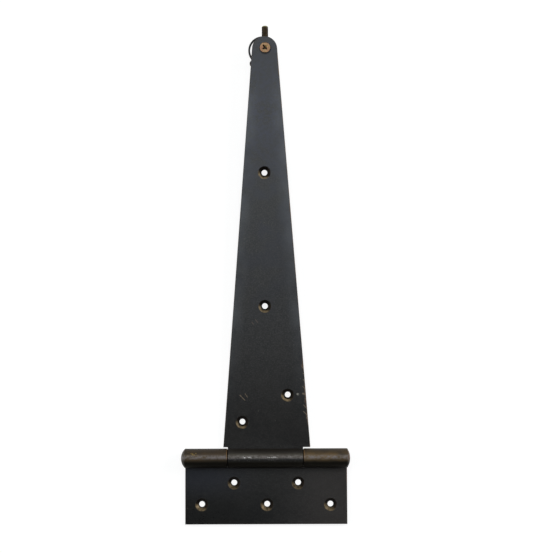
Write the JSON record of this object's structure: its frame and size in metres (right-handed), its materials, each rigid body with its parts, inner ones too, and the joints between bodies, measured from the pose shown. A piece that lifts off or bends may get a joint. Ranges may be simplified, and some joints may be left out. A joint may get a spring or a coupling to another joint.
{
  "type": "tee hinge",
  "caption": "Black steel tee hinge: a long tapered strap and a broad cross plate curled round a riveted pin, with countersunk fixing holes and screws at the strap's tip.",
  "frame": {"origin": "middle of the cross plate's back face, between its lower edge and the pin's axis", "axes": "+X along the pin, +Y from the plate up the strap, +Z out of the front faces"},
  "size_m": [0.1596, 0.4753, 0.0195],
  "materials": {
    "black_steel": "satin black, worn at the edges and along the barrel",
    "browned_steel": "worn black over brown",
    "yellow_zinc": "dull yellow zinc",
    "dark_zinc": "dull olive brown",
    "black_nylon": "matt"
  },
  "bodies": {
    "plate": {"fixing_plate": "black_steel", "hinge_pin": "browned_steel"},
    "strap": {"strap_leaf": "black_steel", "tip_screw": "yellow_zinc", "spare_screw": "dark_zinc", "cable_tie": "black_nylon"}
  },
  "joints": [
    {"name": "strap_swing", "type": "hinge", "parent": "plate", "child": "strap", "pos_m": [0, 0.0314, 0.009], "axis": [1, 0, 0], "range_deg": [-92.19, 177.81]}
  ]
}
